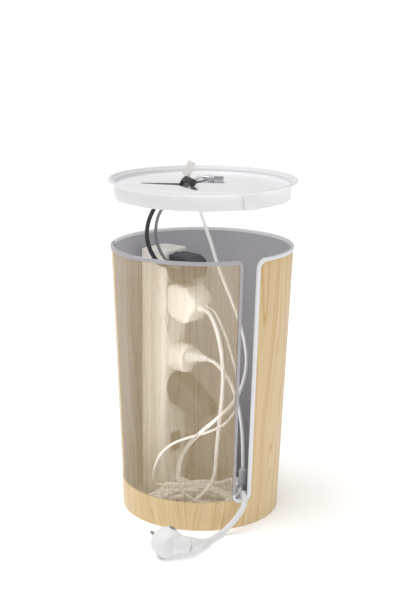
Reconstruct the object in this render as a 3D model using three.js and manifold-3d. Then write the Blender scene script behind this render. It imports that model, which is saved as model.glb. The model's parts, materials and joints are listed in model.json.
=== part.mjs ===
// A round cable tower that hides a five-way power strip, its plugs and their leads.
// The tapered wall has a slot for leads, one see-through side, and a lift-off tray lid
// that stands raised above the rim. Millimetres, +Z up, the slot and the window face -Y.
// The origin is the middle of the footprint, on the floor.
import * as THREE from "three";
import { mergeVertices } from "three/addons/utils/BufferGeometryUtils.js";
import Module from "manifold-3d";

const wasm = await Module();
wasm.setup();

// ---- Driving dimensions ----
const GAP = 0.3;               // play between touching pieces
const TOWER_H = 350;           // floor to the top of the rim trim
const R_FLOOR = 102.2;         // wood skin, outside, at the floor
const R_RIM = 116.2;           // wood skin, outside, at the rim
const SKIN = 1.5;              // wood skin thickness
const LINER = 0.8;             // grey liner thickness
const BAND_H = 38;             // solid wood band below the window
const ROUND_STEPS = 60;        // facets round the tower

const SLOT_ANGLE = 31.5;       // degrees from -Y towards +X, the slot's middle
const SLOT_HALF_LOW = 9.2;     // slot half width at its foot
const SLOT_HALF_TOP = 10.2;    // slot half width at the rim
const SLOT_FOOT_R = 6;         // corner radius at the foot
const MOUTH_R_LEFT = 8;        // slot's rounded mouth, window side
const MOUTH_R_RIGHT = 13;      // slot's rounded mouth, wood side
const WINDOW_END = -95;        // window's far edge, degrees from -Y towards +X
const TRIM_MARGIN = 4.4;       // how far the edge trim laps over the wall
const TRIM_WEB = 1.5;          // trim thickness on the wall's edge
const TRIM_PROUD = 0.8;        // trim thickness on the wall's faces

const LID_RAISE = 81;          // how far the lid stands above its seat
const LID_R = 120;
const LUG_ANGLES = [-12, 31.5, 150, 258];   // little feet under the skirt
const LUG_R = 0.9;
const FLANGE_T = 3;
const SKIRT_H = 21;
const SKIRT_IN = 3.9;          // skirt's outside, inward of the wood skin's, clear of the trim
const TRAY_TOP = -6.5;         // tray floor, measured from the flange's underside
const TRAY_T = 1.8;

const STRIP_TURN = 53.13;      // degrees, the strip's width direction from +X towards +Y
const STRIP_X = -35;           // middle of the socket face
const STRIP_Y = 25;
const STRIP_W = 50;
const STRIP_D = 40;
const STRIP_Z0 = 6;
const STRIP_Z1 = 336;
const STRIP_WALL = 1.6;
const SPLIT_Y = 20;            // cover in front of this depth, base behind it
const SOCKETS = 5;
const SOCKET_Z0 = 152.5;
const SOCKET_PITCH = 40.5;
const WELL_R = 19;
const WELL_DEPTH = 17.5;
const WELL_WALL = 0.6;
const PIN_R = 2.4;
const PIN_L = 19;
const PIN_HALF = 9.5;
const PLUG_R = 18.2;

const MAINS_D = 7.2;
const CHARGER_D = 5.4;
const THIN_D = 3.2;
const ADAPTER_D = 5;
const TRAY_D = 4.6;
const BLACK_D = 4.6;
const BLACK_RISER_D = 5.4;
const GREY_RISER_D = 4;

// ---- Materials ----
const paint = (color, roughness = 0.5, metalness = 0, opacity = 1) => new THREE.MeshStandardMaterial({
  color, roughness, metalness, opacity, transparent: opacity < 1,
});
const wood = () => paint(0xdebe87, 0.55);
const white = () => paint(0xf2f2f2, 0.4);
const grey = () => paint(0x86848a, 0.6);
const black = () => paint(0x3a3b3e, 0.45);
const metal = () => paint(0xc8c8cc, 0.25, 1);
const brass = () => paint(0xc9a24a, 0.35, 1);

// ---- Solid helpers ----
function solid(geometry) {
  const plain = geometry.clone();
  plain.deleteAttribute("normal");
  plain.deleteAttribute("uv");
  const merged = mergeVertices(plain, 1e-4);
  const vertProperties = new Float32Array(merged.attributes.position.array);
  const triVerts = new Uint32Array(merged.index.array);
  return new wasm.Manifold(new wasm.Mesh({ numProp: 3, vertProperties, triVerts }));
}

function geometryOf(body) {
  const mesh = body.getMesh();
  const geometry = new THREE.BufferGeometry();
  geometry.setAttribute("position", new THREE.BufferAttribute(new Float32Array(mesh.vertProperties), 3));
  geometry.setIndex(new THREE.BufferAttribute(new Uint32Array(mesh.triVerts), 1));
  return geometry;
}

function join(...bodies) {
  return bodies.reduce((whole, next) => whole.add(next));
}

function node(name, body, material, parent) {
  const mesh = new THREE.Mesh(geometryOf(body), material);
  mesh.name = name;
  parent.add(mesh);
  return mesh;
}

// A closed ring or a round solid about Z, from (radius, height) points.
function turned(points, steps = ROUND_STEPS) {
  const profile = points.map(([r, z]) => new THREE.Vector2(r, z));
  const geometry = new THREE.LatheGeometry(profile, steps);
  geometry.rotateX(Math.PI / 2);
  return solid(geometry);
}

function box(x0, x1, y0, y1, z0, z1) {
  const geometry = new THREE.BoxGeometry(x1 - x0, y1 - y0, z1 - z0);
  geometry.translate((x0 + x1) / 2, (y0 + y1) / 2, (z0 + z1) / 2);
  return solid(geometry);
}

// A round bar or cone between two points.
function rod(from, to, r0, r1 = r0, sides = 20) {
  const a = new THREE.Vector3(...from);
  const b = new THREE.Vector3(...to);
  const along = b.clone().sub(a);
  const geometry = new THREE.CylinderGeometry(r1, r0, along.length(), sides);
  geometry.translate(0, along.length() / 2, 0);
  const turn = new THREE.Quaternion().setFromUnitVectors(new THREE.Vector3(0, 1, 0), along.normalize());
  geometry.applyQuaternion(turn);
  geometry.translate(a.x, a.y, a.z);
  return solid(geometry);
}

function ball(centre, r, sides = 16) {
  const geometry = new THREE.SphereGeometry(r, sides, sides / 2);
  geometry.translate(...centre);
  return solid(geometry);
}

function roundedRect(w, h, r) {
  const shape = new THREE.Shape();
  shape.moveTo(-w / 2 + r, -h / 2);
  shape.lineTo(w / 2 - r, -h / 2);
  shape.absarc(w / 2 - r, -h / 2 + r, r, -Math.PI / 2, 0);
  shape.lineTo(w / 2, h / 2 - r);
  shape.absarc(w / 2 - r, h / 2 - r, r, 0, Math.PI / 2);
  shape.lineTo(-w / 2 + r, h / 2);
  shape.absarc(-w / 2 + r, h / 2 - r, r, Math.PI / 2, Math.PI);
  shape.lineTo(-w / 2, -h / 2 + r);
  shape.absarc(-w / 2 + r, -h / 2 + r, r, Math.PI, Math.PI * 1.5);
  return shape;
}

// A lead: a round section carried along a smooth route.
function lead(name, route, diameter, material, parent) {
  const curve = new THREE.CatmullRomCurve3(route.map((p) => new THREE.Vector3(...p)), false, "centripetal");
  const sides = diameter < 6 ? 8 : 10;
  const steps = Math.min(80, Math.ceil(curve.getLength() / (2.5 * diameter)));
  const section = new THREE.Shape();
  for (let i = 0; i < sides; i += 1) {
    const a = (i / sides) * Math.PI * 2;
    const x = Math.cos(a) * diameter / 2;
    const y = Math.sin(a) * diameter / 2;
    if (i === 0) section.moveTo(x, y);
    else section.lineTo(x, y);
  }
  const geometry = new THREE.ExtrudeGeometry(section, { steps, extrudePath: curve, bevelEnabled: false });
  return node(name, solid(geometry), material, parent);
}

// ---- The tower wall ----
const radians = THREE.MathUtils.degToRad;
const wallR = (z) => R_FLOOR + (R_RIM - R_FLOOR) * z / TOWER_H;

// A tapered ring that follows the wall: r0 and r1 are offsets from the wood skin's outside.
function wallRing(inner, outer, z0, z1) {
  return turned([
    [wallR(z0) + inner, z0], [wallR(z0) + outer, z0],
    [wallR(z1) + outer, z1], [wallR(z1) + inner, z1], [wallR(z0) + inner, z0],
  ]);
}

// The slot's opening as a prism that points out of the axis, grown by d all round.
// foot is the slot's lower edge and rim the top of the wall, in the prism's own height.
function slotPrism(d, foot, rim) {
  const low = SLOT_HALF_LOW + d;
  const top = SLOT_HALF_TOP + d;
  const above = rim + 12;
  const shape = new THREE.Shape();
  shape.moveTo(-low + SLOT_FOOT_R + d, foot - d);
  shape.lineTo(low - SLOT_FOOT_R - d, foot - d);
  shape.absarc(low - SLOT_FOOT_R - d, foot + SLOT_FOOT_R, SLOT_FOOT_R + d, -Math.PI / 2, 0);
  shape.lineTo(top, rim - MOUTH_R_RIGHT);
  shape.absarc(top - d + MOUTH_R_RIGHT, rim - MOUTH_R_RIGHT, MOUTH_R_RIGHT - d, Math.PI, Math.PI / 2, true);
  shape.lineTo(top - d + MOUTH_R_RIGHT, above);
  shape.lineTo(-top + d - MOUTH_R_LEFT, above);
  shape.lineTo(-top + d - MOUTH_R_LEFT, rim - d);
  shape.absarc(-top + d - MOUTH_R_LEFT, rim - MOUTH_R_LEFT, MOUTH_R_LEFT - d, Math.PI / 2, 0, true);
  shape.lineTo(-low, foot + SLOT_FOOT_R);
  shape.absarc(-low + SLOT_FOOT_R + d, foot + SLOT_FOOT_R, SLOT_FOOT_R + d, Math.PI, Math.PI * 1.5);
  const geometry = new THREE.ExtrudeGeometry(shape, { depth: 90, bevelEnabled: false, curveSegments: 6 });
  geometry.rotateX(Math.PI / 2);
  geometry.translate(0, -50, 0);
  geometry.rotateZ(radians(SLOT_ANGLE));
  return solid(geometry);
}

// A wedge of the plan between two directions, degrees from -Y towards +X.
function wedge(from, to, z0, z1) {
  const shape = new THREE.Shape();
  shape.moveTo(0, 0);
  const steps = 8;
  for (let i = 0; i <= steps; i += 1) {
    const a = radians(from + (to - from) * i / steps);
    shape.lineTo(160 * Math.sin(a), -160 * Math.cos(a));
  }
  const geometry = new THREE.ExtrudeGeometry(shape, { depth: z1 - z0, bevelEnabled: false });
  geometry.translate(0, 0, z0);
  return solid(geometry);
}

const tower = new THREE.Group();

function buildWall(parent) {
  const top = TOWER_H - TRIM_WEB - GAP;
  const cut = slotPrism(TRIM_WEB + GAP, BAND_H, TOWER_H);
  const windowZone = wedge(WINDOW_END, SLOT_ANGLE, BAND_H, TOWER_H + 5);
  const windowFit = wedge(WINDOW_END + 0.15, SLOT_ANGLE, BAND_H + GAP, TOWER_H + 5);
  const inside = -SKIN - GAP - LINER;

  const skin = wallRing(-SKIN, 0, 0, top).subtract(cut).subtract(windowZone);
  node("outer_shell", skin, wood(), parent);
  const liner = wallRing(inside, -SKIN - GAP, 2, top).subtract(cut).subtract(windowZone);
  node("inner_liner", liner, grey(), parent);
  const pane = wallRing(inside, 0, BAND_H, top).subtract(cut).intersect(windowFit);
  node("window_panel", pane, paint(0xbeb296, 0.3, 0, 0.5), parent);

  const laps = wallRing(inside - TRIM_PROUD, TRIM_PROUD, BAND_H - TRIM_MARGIN, TOWER_H);
  const band = join(
    slotPrism(TRIM_MARGIN, BAND_H, TOWER_H),
    box(-150, 150, -150, 150, TOWER_H - TRIM_MARGIN, TOWER_H + 5),
  );
  const wallSpace = wallRing(inside - GAP / 2, GAP / 2, 0, top + GAP / 2)
    .subtract(slotPrism(TRIM_WEB + GAP / 2, BAND_H, TOWER_H));
  const trim = laps.intersect(band).subtract(slotPrism(0, BAND_H, TOWER_H)).subtract(wallSpace);
  const windowTrim = wedge(WINDOW_END, SLOT_ANGLE, BAND_H + 8, TOWER_H + 5);
  const windowTrimFit = wedge(WINDOW_END + 0.15, SLOT_ANGLE, BAND_H + 8 + GAP, TOWER_H + 5);
  node("edge_trim", trim.subtract(windowTrim), white(), parent);
  node("window_trim", trim.intersect(windowTrimFit), paint(0xb9b6ba, 0.5, 0, 0.8), parent);

  const plateR = wallR(2) + inside - 0.5;
  const plate = turned([[0, 1.6], [plateR, 1.6], [plateR, STRIP_Z0 - GAP], [0, STRIP_Z0 - GAP]]);
  node("base_plate", plate, grey(), parent);
}

// ---- The lid ----
const HUB = [-25, 5];
const HUB_R = 10;
const ARM_ROOT = 10;           // half width of an arm at the hub
const ARM_TIP = 3;
const COLLAR_WALL = 1.2;
const COLLAR_DEPTH = 6.7;
const ARMS = [[172, 55], [52, 52], [-68, 50]];   // direction in degrees and length

function starPrism(grow, z0, z1) {
  const arms = ARMS.map(([angle, length]) => {
    const shape = new THREE.Shape();
    const root = ARM_ROOT + grow;
    const tip = ARM_TIP + grow;
    shape.moveTo(-2, -root);
    shape.lineTo(length - ARM_TIP, -tip);
    shape.absarc(length - ARM_TIP, 0, tip, -Math.PI / 2, Math.PI / 2);
    shape.lineTo(-2, root);
    const settings = { depth: z1 - z0, bevelEnabled: false, curveSegments: 8 };
    const geometry = new THREE.ExtrudeGeometry(shape, settings);
    geometry.rotateZ(radians(angle));
    geometry.translate(HUB[0], HUB[1], z0);
    return solid(geometry);
  });
  const hub = rod([...HUB, z0], [...HUB, z1], HUB_R + grow, HUB_R + grow, 24);
  return join(hub, ...arms);
}

function buildLid(parent) {
  const skirtTop = wallR(TOWER_H) - SKIRT_IN;
  const skirtFoot = wallR(TOWER_H - SKIRT_H) - SKIRT_IN;
  const tray = turned([
    [0, TRAY_TOP - TRAY_T], [skirtTop - 2.4, TRAY_TOP - TRAY_T], [skirtFoot - 2, -SKIRT_H],
    [skirtFoot, -SKIRT_H], [skirtTop, 0], [LID_R - 0.8, 0], [LID_R, 0.8], [LID_R, FLANGE_T - 1],
    [LID_R - 1, FLANGE_T], [LID_R - 4, FLANGE_T], [LID_R - 6.4, FLANGE_T - 1.4],
    [LID_R - 8.6, TRAY_TOP + 2], [LID_R - 10.6, TRAY_TOP], [0, TRAY_TOP],
  ]);
  const keyRing = turned([
    [skirtFoot - 1.6, -SKIRT_H], [wallR(TOWER_H - SKIRT_H) + 0.2, -SKIRT_H],
    [wallR(TOWER_H) + 0.2, 0.5], [skirtTop - 1.2, 0.5], [skirtFoot - 1.6, -SKIRT_H],
  ]);
  const key = keyRing.intersect(slotPrism(-GAP - 0.2, -60, 0));
  const lugs = LUG_ANGLES.map((a) => {
    const x = (skirtFoot - 1) * Math.sin(radians(a));
    const y = -(skirtFoot - 1) * Math.cos(radians(a));
    return rod([x, y, -SKIRT_H - LUG_R], [x, y, -SKIRT_H + 1], LUG_R, LUG_R, 10);
  });
  const opening = starPrism(0, TRAY_TOP - 8, TRAY_TOP + 8);
  node("lid_tray", join(tray, key, ...lugs).subtract(opening), white(), parent);
  const collar = starPrism(-GAP, TRAY_TOP - COLLAR_DEPTH, TRAY_TOP + 0.2)
    .subtract(starPrism(-GAP - COLLAR_WALL, TRAY_TOP - 8, TRAY_TOP + 8));
  node("cable_collar", collar, grey(), parent);
}

// ---- The power strip. Its own frame: X across the socket face, -Y out of it, Z up. ----
const strip = new THREE.Group();
strip.position.set(STRIP_X, STRIP_Y, 0);
strip.rotation.z = radians(STRIP_TURN);

function stripBlock(shrink, z0, z1) {
  const shape = roundedRect(STRIP_W - 2 * shrink, STRIP_D - 2 * shrink, 7 - shrink);
  const settings = { depth: z1 - z0, bevelEnabled: false, curveSegments: 5 };
  const geometry = new THREE.ExtrudeGeometry(shape, settings);
  geometry.translate(0, STRIP_D / 2, z0);
  return solid(geometry);
}

const socketZ = (i) => SOCKET_Z0 + i * SOCKET_PITCH;
const SWITCH_Z = 73;
const INLET_Z = 19;
const SCREWS = [[-11, 96], [16, 96]];
const SCREW_R = 2.2;
const CLIP_REACH = 17.1;       // earth clip's inner face, above and below the socket's middle
const CLIP_T = 1;
const CLIP_HALF = 2;
const BAR_HALF = 3.6;          // live and neutral bars are channels that the pins enter
const BAR_WALL = 0.8;
const SWITCH_HALF_W = 9.5;
const SWITCH_HALF_H = 13;

function buildStrip(parent) {
  const hollow = stripBlock(0, STRIP_Z0, STRIP_Z1)
    .subtract(stripBlock(STRIP_WALL, STRIP_Z0 + STRIP_WALL, STRIP_Z1 - STRIP_WALL));
  const front = box(-40, 40, -5, SPLIT_Y, 0, 400);
  const rear = box(-40, 40, SPLIT_Y + GAP, 60, 0, 400);
  const holeR = WELL_R + WELL_WALL + GAP;
  let cover = hollow.intersect(front);
  for (let i = 0; i < SOCKETS; i += 1) {
    cover = cover.subtract(rod([0, -3, socketZ(i)], [0, 8, socketZ(i)], holeR, holeR, 28));
  }
  const hatchW = SWITCH_HALF_W + GAP;
  const hatchH = SWITCH_HALF_H + GAP;
  cover = cover.subtract(box(-hatchW, hatchW, -3, 8, SWITCH_Z - hatchH, SWITCH_Z + hatchH));
  cover = cover.subtract(rod([0, -3, INLET_Z], [0, 8, INLET_Z], 7));
  SCREWS.forEach(([x, z]) => {
    cover = cover.subtract(rod([x, -3, z], [x, 8, z], SCREW_R + GAP, SCREW_R + GAP, 12));
  });
  node("strip_cover", cover, white(), parent);
  node("strip_base", hollow.intersect(rear), white(), parent);

  for (let i = 0; i < SOCKETS; i += 1) {
    const z = socketZ(i);
    const holes = [-PIN_HALF, PIN_HALF].map((x) => rod([x, 10, z], [x, 25, z], 3.1, 3.1, 16));
    const clipSlots = box(-2.6, 2.6, 10, 25, z + 16.8, z + 18.4)
      .add(box(-2.6, 2.6, 10, 25, z - 18.4, z - 16.8));
    const cup = rod([0, 0.2, z], [0, WELL_DEPTH + 1.5, z], WELL_R + WELL_WALL, WELL_R + WELL_WALL, 28)
      .subtract(rod([0, -3, z], [0, WELL_DEPTH, z], WELL_R, WELL_R, 28));
    node(`socket_well_${i + 1}`, cup.subtract(join(...holes, clipSlots)), white(), parent);
    const clipEnd = CLIP_REACH + CLIP_T;
    const strap = box(-CLIP_HALF, CLIP_HALF, 6, 20.2, z + CLIP_REACH, z + clipEnd)
      .add(box(-CLIP_HALF, CLIP_HALF, 6, 20.2, z - clipEnd, z - CLIP_REACH))
      .add(box(-CLIP_HALF, CLIP_HALF, 19.4, 20.2, z - clipEnd, z + clipEnd));
    node(`earth_clip_${i + 1}`, strap, metal(), parent);
  }

  const barZ0 = socketZ(0) - 18;
  const barZ1 = STRIP_Z1 - STRIP_WALL - 1;
  [["neutral_bar", -PIN_HALF], ["live_bar", PIN_HALF]].forEach(([name, x]) => {
    const slot = BAR_HALF - BAR_WALL;
    const channel = box(x - BAR_HALF, x + BAR_HALF, 23, 37 + BAR_WALL, barZ0, barZ1)
      .subtract(box(x - slot, x + slot, 20, 37, barZ0 - 1, barZ1 + 1));
    node(name, channel, brass(), parent);
  });
  node("earth_bar", box(-3, 3, 20.5, 21.5, barZ0, barZ1), brass(), parent);

  const bezel = 2.1;
  const holeH = SWITCH_HALF_H - bezel - GAP;
  const holeW = SWITCH_HALF_W - bezel;
  const rimH = SWITCH_HALF_H;
  const frame = box(-SWITCH_HALF_W, SWITCH_HALF_W, -0.8, 7, SWITCH_Z - rimH, SWITCH_Z + rimH)
    .subtract(box(-holeW, holeW, -3, 9, SWITCH_Z - holeH, SWITCH_Z + holeH));
  node("switch_frame", frame, black(), parent);
  SCREWS.forEach(([x, z], i) => {
    const head = rod([x, 0.4, z], [x, 3, z], SCREW_R, SCREW_R, 12);
    const thread = rod([x, 2.5, z], [x, 16, z], 1.4, 1.4, 8);
    node(`cover_screw_${i + 1}`, head.add(thread), metal(), parent);
  });
  const relief = rod([0, 5, INLET_Z], [0, -2, INLET_Z], 6.6, 6.6)
    .add(rod([0, -1.9, INLET_Z], [0, -24, INLET_Z], 6.2, 4.3));
  node("strip_strain_relief", relief, white(), parent);
}

// Rocker: pivots on an axis across the face, at rest with its top pressed in.
const ROCKER_Y = 3.6;
const ROCKER_TILT = 8;

function buildRocker(parent) {
  const shape = new THREE.Shape();
  shape.moveTo(-9.7, -3.4);
  shape.lineTo(0, -2.2);
  shape.lineTo(9.7, -3.4);
  shape.lineTo(9.2, 5);
  shape.lineTo(-9.2, 5);
  const geometry = new THREE.ExtrudeGeometry(shape, { depth: 14, bevelEnabled: false });
  geometry.translate(0, 0, -7);
  geometry.rotateZ(Math.PI / 2);
  geometry.rotateY(Math.PI / 2);
  geometry.rotateX(-radians(ROCKER_TILT));
  geometry.translate(0, ROCKER_Y, SWITCH_Z);
  const pivot = rod([-7.2, ROCKER_Y, SWITCH_Z], [7.2, ROCKER_Y, SWITCH_Z], 2);
  node("rocker_switch", join(solid(geometry), pivot), black(), parent);
}

// ---- Plugs. Each is built in the strip's frame at its socket's height. ----
const CARRIER_R = 14.6;        // disc that holds a plug's pins, let into the plug's face
const CARRIER_T = 1.9;
const RECESS_R = CARRIER_R + 0.6;
const TAPER_L = 1.4;           // pin's eased tip
const PLUG_FACE = WELL_DEPTH - GAP;

// A disc with two pins. face is the plug's face along +Y, and at(side) each pin's place across it.
function discWithPins(face, middle, at) {
  const disc = rod([...middle(face - CARRIER_T)], [...middle(face)], CARRIER_R, CARRIER_R, 16);
  const pins = [-1, 1].map((side) => join(
    rod(at(side, face - 0.1), at(side, face + PIN_L - TAPER_L), PIN_R, PIN_R, 8),
    rod(at(side, face + PIN_L - TAPER_L - 0.1), at(side, face + PIN_L), PIN_R, PIN_R * 0.6, 8),
  ));
  return join(disc, ...pins);
}

const pinCarrier = (z) => discWithPins(PLUG_FACE, (y) => [0, y, z], (side, y) => [side * PIN_HALF, y, z]);

// The round foot that fills a socket's well, with its two earth grooves.
function plugFoot(z, out) {
  return rod([0, -out, z], [0, PLUG_FACE, z], PLUG_R, PLUG_R, 28)
    .subtract(rod([0, PLUG_FACE - CARRIER_T - GAP, z], [0, PLUG_FACE + 2, z], RECESS_R, RECESS_R, 16))
    .subtract(box(-3.2, 3.2, 3, 30, z + 16.6, z + 20))
    .subtract(box(-3.2, 3.2, 3, 30, z - 20, z - 16.6));
}

// A body extruded across the face: points are (distance out of the face, height).
function sideProfile(points, width, z) {
  const shape = new THREE.Shape(points.map(([out, h]) => new THREE.Vector2(out, h)));
  const bevel = 3;
  const geometry = new THREE.ExtrudeGeometry(shape, {
    depth: width - 2 * bevel, bevelEnabled: true, bevelThickness: bevel, bevelSize: bevel,
    bevelOffset: -bevel, bevelSegments: 1,
  });
  geometry.translate(0, 0, -(width - 2 * bevel) / 2);
  geometry.rotateX(Math.PI / 2);
  geometry.rotateZ(-Math.PI / 2);
  geometry.translate(0, 0, z);
  return solid(geometry);
}

function buildTopPlug(parent) {
  const z = socketZ(4);
  const body = sideProfile([[1, -15], [30, -14], [39, -9], [41, 0], [39, 11], [30, 17], [1, 18]], 36, z);
  const ports = join(
    rod([-10, -14, z + 7], [-24, -14, z + 7], 4.6, 3.8, 16),
    rod([-10, -27, z + 7], [-23, -27, z + 7], 4, 3, 16),
  );
  node("top_plug", join(plugFoot(z, 4), body, ports), black(), parent);
  node("top_plug_pins", pinCarrier(z), metal(), parent);
}

function buildCubeCharger(parent) {
  const z = socketZ(3);
  const body = sideProfile([
    [1, -18], [8, -24], [26, -29], [33, -28], [47, -4], [45, 6], [30, 19], [12, 22], [1, 17],
  ], 42, z);
  const nubs = join(
    rod([5.5, -40, z - 6], [5.5, -51, z - 9], 4.2, 3.2, 16),
    rod([-5.5, -40, z - 6], [-5.5, -51, z - 9], 4.6, 3.8, 16),
  );
  node("cube_charger", join(plugFoot(z, 3), body, nubs), white(), parent);
  node("cube_charger_pins", pinCarrier(z), metal(), parent);
}

const ADAPTER_OUT = 24;
const SMALL_Z = 5;

function buildAdapter(parent) {
  const z = socketZ(1);
  const head = join(
    rod([0, -1, z], [0, -ADAPTER_OUT + 3, z], 19.4, 19, 28),
    rod([0, -ADAPTER_OUT + 3.1, z], [0, -ADAPTER_OUT, z], 19, 16.5, 28),
  );
  const zs = z + SMALL_Z;
  const holes = [-9.3, 9.3].map((x) => rod([x, -ADAPTER_OUT - 3, zs], [x, -3, zs], 2.4, 2.4, 12));
  node("round_adapter", join(plugFoot(z, 2), head).subtract(join(...holes)), white(), parent);
  node("round_adapter_pins", pinCarrier(z), metal(), parent);

  const y = -ADAPTER_OUT - GAP;
  const shape = roundedRect(27, 15, 7);
  const base = new THREE.ExtrudeGeometry(shape, { depth: 9, bevelEnabled: false, curveSegments: 6 });
  base.rotateX(Math.PI / 2);
  base.translate(0, y, zs);
  const small = join(
    solid(base),
    rod([-5, y - 8, zs], [0, y - 20, zs], 7.4, 5, 20),
    rod([5, y - 8, zs], [0, y - 20, zs], 7.4, 5, 20),
    rod([0, y - 8, zs], [0, y - 30, zs], 6.5, 3.4, 20),
  );
  const seat = box(-13, 13, y - 2, y + 1, zs - 5, zs + 5);
  node("small_plug", small.subtract(seat), white(), parent);
  const pins = [-9.3, 9.3].map((x) => rod([x, y - 1.5, zs], [x, y + 18, zs], 2, 2, 12));
  node("small_plug_pins", join(box(-12.6, 12.6, y - 1.7, y, zs - 4.6, zs + 4.6), ...pins), metal(), parent);
}

function buildBlackPlug(parent) {
  const z = socketZ(0);
  const body = sideProfile([
    [1, -18], [24, -27], [46, -38], [58, -32], [61, -19], [38, 1], [14, 16], [1, 17],
  ], 34, z);
  const spout = rod([0, -44, z - 28], [0, -40, z - 44], 4.6, 3.4, 16);
  node("black_plug", join(plugFoot(z, 3), body, spout), black(), parent);
  node("black_plug_pins", pinCarrier(z), metal(), parent);
}

// ---- Mains plug on the floor: its own frame, +Y along its pins. ----
const MAINS_PLUG_AT = [-40, -172, 18.6];
const MAINS_PLUG_TURN = 30;

function buildMainsPlug(parent) {
  const plug = new THREE.Group();
  plug.position.set(...MAINS_PLUG_AT);
  plug.rotation.z = radians(MAINS_PLUG_TURN);
  parent.add(plug);
  const lean = radians(-30);
  const grip = join(
    rod([0, -15, 0], [0, 0, 0], PLUG_R, PLUG_R, 28),
    rod([0, -21, 0], [0, -14.9, 0], 13, PLUG_R, 28),
    rod([2, -12, 0], [24, -16, -5], 13.5, 10.5, 20),
    rod([23, -15.8, -4.8], [40, -11, -9], 10.6, 7, 20),
  ).intersect(box(-60, 90, -60, 60, -MAINS_PLUG_AT[2] + 0.1, 60));
  const grooves = [0, Math.PI].map((side) => {
    const turn = lean + side + Math.PI / 2;
    const cut = new THREE.BoxGeometry(6.4, 13, 3.6);
    cut.rotateY(-(lean + side));
    cut.translate(PLUG_R * Math.cos(turn), -6, PLUG_R * Math.sin(turn));
    return solid(cut);
  });
  const recess = rod([0, -CARRIER_T - GAP, 0], [0, 2, 0], RECESS_R, RECESS_R, 16);
  node("mains_plug", grip.subtract(join(recess, ...grooves)), white(), plug);
  const pinAt = (side, y) => [side * PIN_HALF * Math.cos(lean), y, side * PIN_HALF * Math.sin(lean)];
  node("mains_plug_pins", discWithPins(0, (y) => [0, y, 0], pinAt), metal(), plug);
  const relief = join(
    rod([40.4, -10.9, -9.1], [45.1, -9.6, -10.3], 6.6, 6.2),
    rod([44.9, -9.7, -10.2], [52.1, -6.5, -11.8], 5.4, 5.6),
    rod([51.9, -6.7, -11.7], [58.5, -2.6, -13], 5, 4.4),
  );
  node("mains_plug_relief", relief, white(), plug);
}

// ---- Leads ----
// An oval coil lying flat: a round ring, stretched. size is its outer half length and width.
function coil(name, centre, size, section, turn, material, parent) {
  const [width, z0, z1] = section;
  const c = 2.5;
  const outer = size[0];
  const inner = outer - width;
  const profile = [
    [inner + c, z0], [outer - c, z0], [outer, z0 + c], [outer, z1 - c],
    [outer - c, z1], [inner + c, z1], [inner, z1 - c], [inner, z0 + c], [inner + c, z0],
  ].map(([r, z]) => new THREE.Vector2(r, z));
  const geometry = new THREE.LatheGeometry(profile, 28);
  geometry.rotateX(Math.PI / 2);
  geometry.scale(1, size[1] / size[0], 1);
  geometry.rotateZ(radians(turn));
  geometry.translate(centre[0], centre[1], 0);
  return node(name, solid(geometry), material, parent);
}

function buildMainsLead(parent) {
  coil("mains_coil", [3, -38], [74, 44], [22, STRIP_Z0, 27], 0, white(), parent);
  lead("mains_lead_in", [[-15.5, 10.4, 19], [-13.6, 9.1, 19], [-11.7, 7.9, 18.9]], MAINS_D, white(), parent);
  lead("mains_lead_out", [
    [66, -50, 31.4], [63.5, -60, 33], [60, -70, 37.5], [56, -78.5, 42], [56, -88, 43.3], [58, -97, 40.5],
    [54.5, -104.5, 31], [47, -108, 20.5], [39, -111, 11.5], [32, -115, 5.8], [26.5, -121.5, 4.1],
    [21, -130, 4.1], [16, -138, 4.7], [12.2, -144.4, 5.4],
  ], MAINS_D, white(), parent);
}

function buildChargerLeads(parent) {
  coil("charger_coil", [-12, -36], [66, 40], [15, 27.4, 38.4], 0, white(), parent);
  lead("charger_lead", [
    [2.8, -10.3, 265.4], [9, -16, 262.5], [17, -27, 250], [24, -38, 228], [28, -44, 200], [28, -47, 165],
    [25, -48, 130], [22, -47, 95], [20, -46, 62], [17, -47, 45], [10, -51, 35],
  ], CHARGER_D, white(), parent);
  lead("thin_lead", [
    [9.4, -1.5, 265.4], [16, -7, 262], [28, -17, 241], [38, -24, 214], [45, -29, 188], [49, -33, 160],
    [46, -38, 142], [33, -55, 128], [12, -64, 119], [-12, -66, 112], [-34, -66, 103], [-50, -64, 88],
    [-58, -61, 68], [-60, -58, 52], [-56, -56, 44.6], [-49, -55, 42],
  ], THIN_D, white(), parent);
  const usb = join(
    rod([46, -28, 41.9], [46, -31, 41.9], 2.6, 3),
    box(40.6, 51.4, -46, -30.9, 39, 44.8),
    box(41.6, 50.4, -57, -45.9, 39.6, 44.2),
  );
  node("charger_connector", usb, white(), parent);
  const neck = rod([-48.1, -55, 42], [-44, -55.4, 42], 1.9, 3.2, 12);
  const grip = box(-44.1, -27, -58.6, -52.4, 38.9, 45);
  node("thin_connector", neck.add(grip), white(), parent);
}

function buildAdapterLead(parent) {
  lead("adapter_lead", [
    [9.1, -8.1, 197.5], [17, -15, 196], [29, -29, 188], [40, -41, 173], [48, -49, 152], [53, -54, 126],
    [55, -57, 100], [55.5, -59, 80], [55.8, -60.5, 70.4],
  ], ADAPTER_D, white(), parent);
  const inline = join(
    rod([55.8, -60.5, 70], [55.6, -62, 60], 3.6, 6, 12),
    rod([55.6, -62, 60.1], [54.8, -64, 50], 6, 5.4, 12),
    rod([54.8, -64, 50.1], [53.8, -65.5, 45], 4.2, 3.6, 12),
  );
  node("inline_connector", inline, paint(0xb9bbbe, 0.4), parent);
}

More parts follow.
